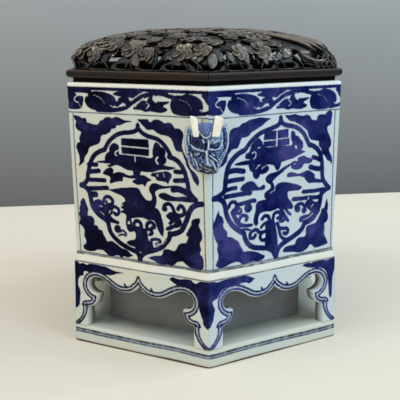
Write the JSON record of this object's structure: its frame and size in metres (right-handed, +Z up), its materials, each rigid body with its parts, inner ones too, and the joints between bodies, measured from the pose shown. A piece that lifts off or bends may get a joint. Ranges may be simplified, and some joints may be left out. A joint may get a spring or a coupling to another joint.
{
  "type": "hexagonal incense burner",
  "caption": "Hexagonal blue-and-white porcelain incense burner on an openwork stand, with horned beast masks and a lift-off carved hardwood cover.",
  "frame": {"origin": "centre of the hexagon, in the plane of the foot that rests on the table", "axes": "+Z up the axis of the vessel, -Y towards the corner that carries the front mask, +X towards the middle of a side"},
  "size_m": [0.1398, 0.1756, 0.164],
  "materials": {
    "glazed_porcelain": "clear glazed porcelain with underglaze cobalt painting",
    "biscuit": "thinly glazed porcelain body",
    "cobalt_mask": "glazed porcelain with cobalt washes",
    "horn_slip": "glazed porcelain left unpainted",
    "hardwood": "carved and polished dark hardwood"
  },
  "bodies": {
    "vessel": {"plinth_ring": "glazed_porcelain", "chamber_floor": "glazed_porcelain", "core_slab_1": "biscuit", "core_slab_2": "biscuit", "core_slab_3": "biscuit", "core_slab_4": "biscuit", "core_slab_5": "biscuit", "core_slab_6": "biscuit", "apron_panel_1": "glazed_porcelain", "apron_panel_2": "glazed_porcelain", "apron_panel_3": "glazed_porcelain", "apron_panel_4": "glazed_porcelain", "apron_panel_5": "glazed_porcelain", "apron_panel_6": "glazed_porcelain", "wall_slab_1": "glazed_porcelain", "wall_slab_2": "glazed_porcelain", "wall_slab_3": "glazed_porcelain", "wall_slab_4": "glazed_porcelain", "wall_slab_5": "glazed_porcelain", "wall_slab_6": "glazed_porcelain", "front_mask": "cobalt_mask", "front_mask_left_horn": "horn_slip", "front_mask_right_horn": "horn_slip", "back_mask": "cobalt_mask", "back_mask_left_horn": "horn_slip", "back_mask_right_horn": "horn_slip"},
    "cover": {"cover_rail_1": "hardwood", "cover_rail_2": "hardwood", "cover_rail_3": "hardwood", "cover_rail_4": "hardwood", "cover_rail_5": "hardwood", "cover_rail_6": "hardwood", "seat_strip_1": "hardwood", "seat_strip_2": "hardwood", "seat_strip_3": "hardwood", "seat_strip_4": "hardwood", "seat_strip_5": "hardwood", "seat_strip_6": "hardwood", "tongue_strip_1": "hardwood", "tongue_strip_2": "hardwood", "tongue_strip_3": "hardwood", "tongue_strip_4": "hardwood", "tongue_strip_5": "hardwood", "tongue_strip_6": "hardwood", "carved_dome": "hardwood"}
  },
  "joints": [
    {"name": "cover_lift", "type": "slide", "parent": "vessel", "child": "cover", "axis": [0, 0, 1], "range_m": [0, 0.15]}
  ]
}
